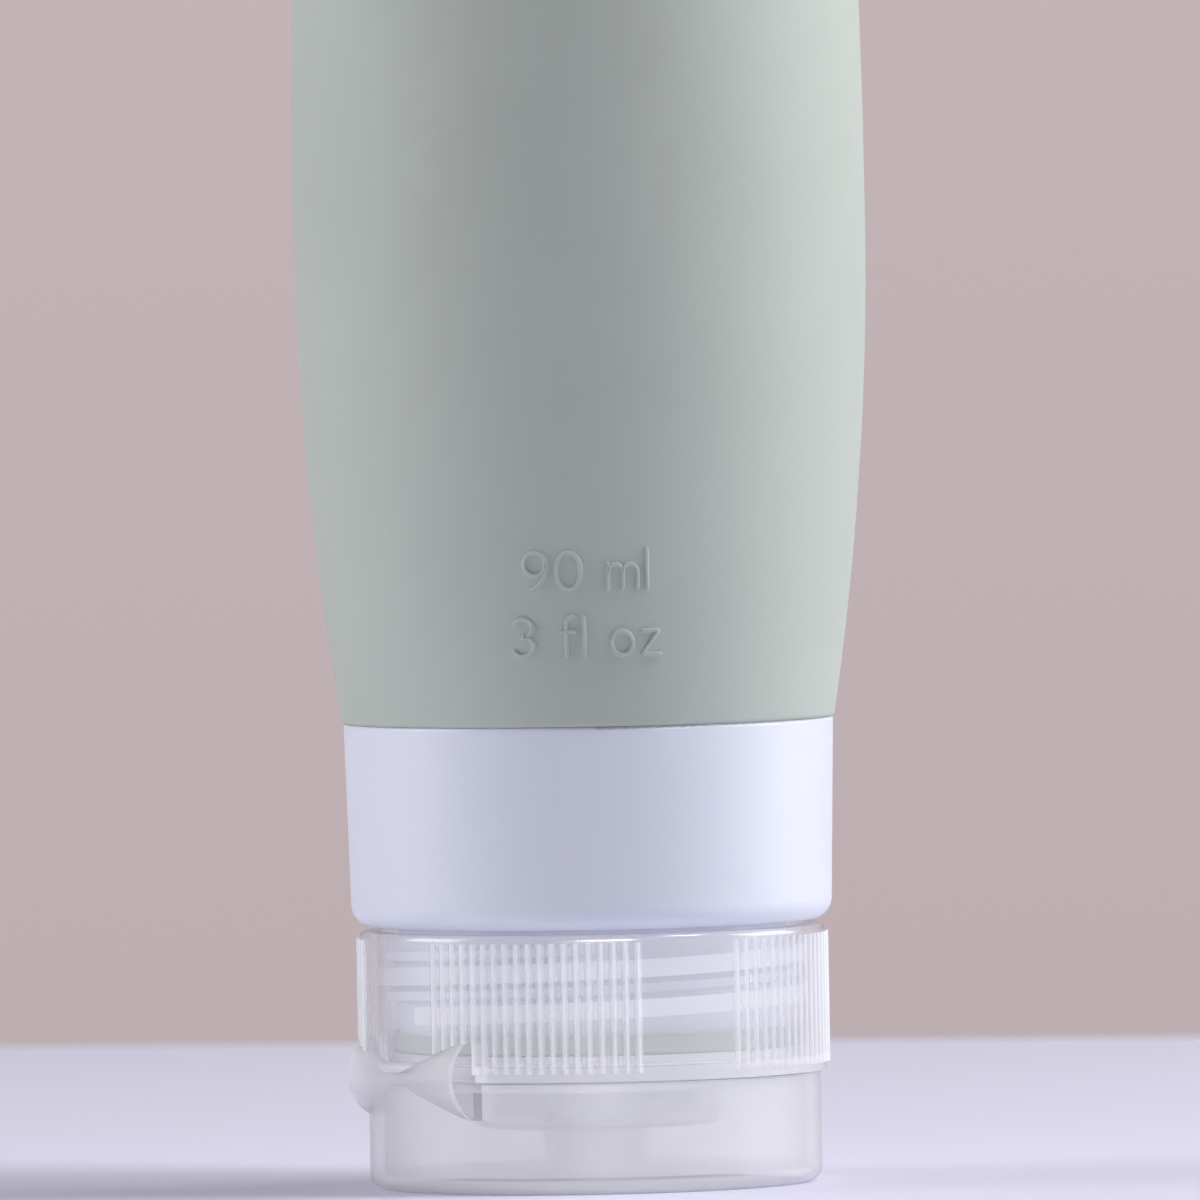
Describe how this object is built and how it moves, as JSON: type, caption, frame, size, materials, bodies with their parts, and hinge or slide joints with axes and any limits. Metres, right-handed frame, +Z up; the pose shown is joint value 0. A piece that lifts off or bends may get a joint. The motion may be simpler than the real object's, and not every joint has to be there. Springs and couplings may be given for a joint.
{
  "type": "travel silicone bottle",
  "caption": "Squeezable silicone travel bottle with a rigid collar, screw cap and flip lid on a butterfly hinge, standing on its lid.",
  "frame": {"origin": "centre of the lid's flat outer face, on which the bottle stands", "axes": "+Z up along the bottle's axis, from the lid to the far end; -Y towards the capacity mark; the lid's hinge lies 30.5 degrees in front of -X"},
  "size_m": [0.046, 0.046, 0.128],
  "materials": {
    "silicone": "matt",
    "white_plastic": "satin",
    "clear_plastic": "natural, translucent",
    "seal_silicone": "matt, cloudy"
  },
  "bodies": {
    "bottle": {"silicone_body": "silicone", "collar": "white_plastic"},
    "seal": {"gasket": "seal_silicone"},
    "cap": {"cap_base": "clear_plastic", "valve": "seal_silicone", "valve_retainer": "clear_plastic", "hinge_web": "clear_plastic"},
    "lid": {"flip_lid": "clear_plastic"}
  },
  "joints": [
    {"name": "cap_travel", "type": "slide", "parent": "bottle", "child": "seal", "axis": [0, 0, -1], "range_m": [0, 0.01125]},
    {"name": "cap_turn", "type": "hinge", "parent": "seal", "child": "cap", "pos_m": [0, 0, 0], "axis": [0, 0, -1], "range_deg": [0, 1260]},
    {"name": "lid_hinge", "type": "hinge", "parent": "cap", "child": "lid", "pos_m": [-0.01575, -0.00891, 0.00898], "axis": [-0.4924, 0.8704, 0], "range_deg": [0, 130], "deforming": ["hinge_web"]}
  ],
  "couplings": [
    {"joint": "cap_travel", "follows": "cap_turn", "m_per_rad": 0.0005093}
  ]
}
